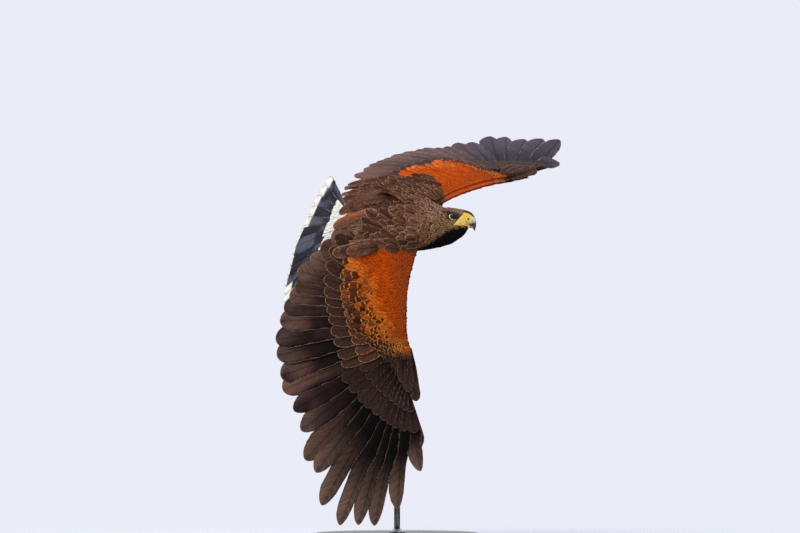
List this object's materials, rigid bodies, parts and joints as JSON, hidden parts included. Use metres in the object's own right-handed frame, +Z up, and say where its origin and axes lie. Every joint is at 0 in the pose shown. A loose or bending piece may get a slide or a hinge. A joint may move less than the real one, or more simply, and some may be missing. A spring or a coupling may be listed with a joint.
{
  "type": "harris hawk, life-size still model in banking flight",
  "caption": "Life-size harris hawk in a banked turn, wings spread and tail fanned, held on a plain round display stand by one upright rod.",
  "frame": {"origin": "centre of the underside of the stand's base", "axes": "+Z up; the hawk flies towards +X and somewhat towards -Y, its right wing hangs down and its left wing reaches away along +Y"},
  "size_m": [0.5284, 0.589, 0.7469],
  "materials": {
    "body_feathers": "matt dark brown feathers with rusty edges",
    "wing_feathers": "satin feathers, rust-orange over the forearm and dark brown behind",
    "tail_feathers": "satin black-slate feathers with a white tip and base",
    "thigh_feathers": "matt rust feathers",
    "yellow_skin": "scaly bare yellow skin",
    "horn": "polished dark horn",
    "eye": "wet dark brown eye",
    "stand_wood": "satin dark stained wood",
    "stand_steel": "brushed"
  },
  "bodies": {
    "root": {"torso": "body_feathers", "neck": "body_feathers", "head": "body_feathers", "eye_left": "eye", "eye_right": "eye", "cere": "yellow_skin", "bill_upper": "horn", "bill_lower": "horn", "wing_left": "wing_feathers", "wing_right": "wing_feathers", "tail": "tail_feathers", "thigh_left": "thigh_feathers", "thigh_right": "thigh_feathers", "shank_left": "yellow_skin", "shank_right": "yellow_skin", "foot_left": "yellow_skin", "foot_right": "yellow_skin", "claw_left_inner": "horn", "claw_left_middle": "horn", "claw_left_outer": "horn", "claw_left_hind": "horn", "claw_right_inner": "horn", "claw_right_middle": "horn", "claw_right_outer": "horn", "claw_right_hind": "horn", "stand_base": "stand_wood", "stand_collar": "stand_steel", "stand_rod": "stand_steel"}
  },
  "joints": []
}
